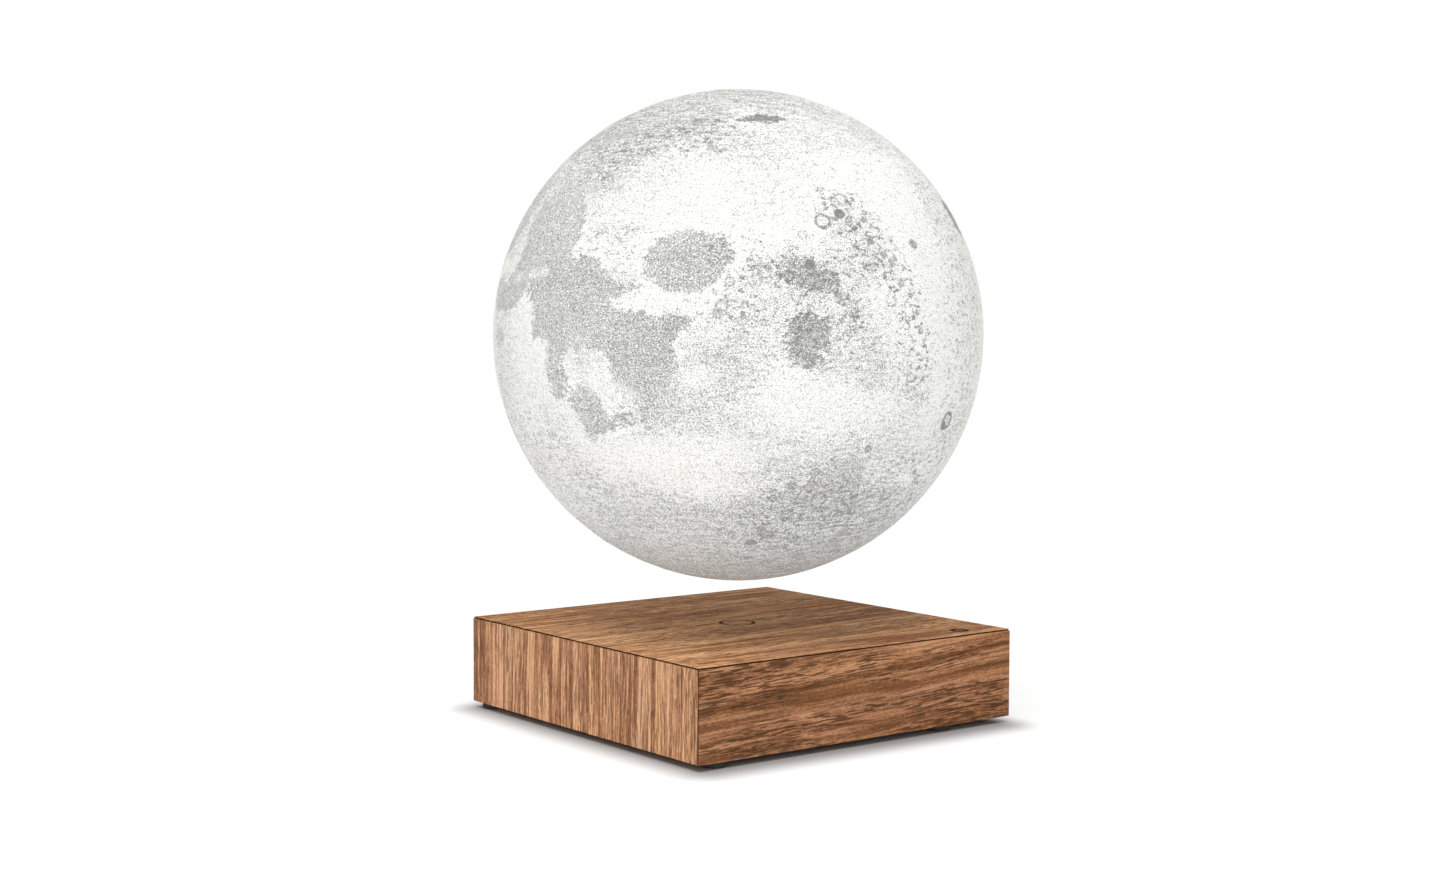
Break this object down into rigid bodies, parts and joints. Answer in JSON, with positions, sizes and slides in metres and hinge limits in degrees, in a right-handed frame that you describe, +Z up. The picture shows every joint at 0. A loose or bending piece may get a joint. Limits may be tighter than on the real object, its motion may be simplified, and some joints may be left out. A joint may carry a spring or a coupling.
{
  "type": "levitating moon lamp",
  "caption": "Printed moon shade that floats and turns in the air above a low square walnut base with magnets and a touch switch.",
  "frame": {"origin": "on the floor, under the middle of the base and of the moon", "axes": "+Z up, -Y the front of the base, +X to the right"},
  "size_m": [0.158, 0.158, 0.2027],
  "materials": {
    "walnut": "oiled satin",
    "block_wood": "sawn",
    "cover_plastic": "fine texture",
    "rubber": "matte",
    "steel": "zinc plated",
    "board_green": "solder mask",
    "board_white": "solder mask",
    "ferrite": "ground",
    "copper": "enamelled wire",
    "chip_black": "moulded",
    "aluminium": "drawn",
    "lead_red": "insulation",
    "jack_plastic": "moulded",
    "magnet_nickel": "nickel plated",
    "moon_print": "printed in fine layers, with the moon's map in grey",
    "led_yellow": "phosphor"
  },
  "bodies": {
    "base": {"top_panel": "walnut", "front_panel": "walnut", "right_panel": "walnut", "back_panel": "walnut", "left_panel": "walnut", "corner_block_front_left": "block_wood", "corner_block_front_right": "block_wood", "corner_block_back_right": "block_wood", "corner_block_back_left": "block_wood", "bottom_cover": "cover_plastic", "cover_screw_front_left": "steel", "cover_screw_front_right": "steel", "cover_screw_back_right": "steel", "cover_screw_back_left": "steel", "board_screw_front": "steel", "board_screw_right": "steel", "board_screw_back": "steel", "board_screw_left": "steel", "foot_front_left": "rubber", "foot_front_right": "rubber", "foot_back_right": "rubber", "foot_back_left": "rubber", "control_board": "board_green", "ring_magnet": "ferrite", "coil_core_front": "steel", "coil_core_right": "steel", "coil_core_back": "steel", "coil_core_left": "steel", "levitation_coil_front": "copper", "levitation_coil_right": "copper", "levitation_coil_back": "copper", "levitation_coil_left": "copper", "hall_sensor_x": "chip_black", "hall_sensor_y": "chip_black", "driver_chip": "chip_black", "smoothing_capacitor": "aluminium", "power_coil": "copper", "power_coil_lead": "lead_red", "touch_electrode": "copper", "touch_lead": "lead_red", "dc_jack": "jack_plastic", "dc_jack_pin": "steel"},
    "floating_magnet": {"levitating_magnet": "magnet_nickel"},
    "moon": {"moon_shell": "moon_print", "magnet_cup": "moon_print", "receiver_coil": "copper", "led_board": "board_white", "led_1": "led_yellow", "led_2": "led_yellow", "led_3": "led_yellow", "led_4": "led_yellow", "led_5": "led_yellow", "led_6": "led_yellow", "rectifier_chip": "chip_black"}
  },
  "joints": [
    {"name": "moon_lift", "type": "slide", "parent": "base", "child": "floating_magnet", "axis": [0, 0, 1], "range_m": [0, 0.06]},
    {"name": "moon_spin", "type": "hinge", "parent": "floating_magnet", "child": "moon", "pos_m": [0, 0, 0.1237], "axis": [0, 0, 1], "continuous": true}
  ]
}
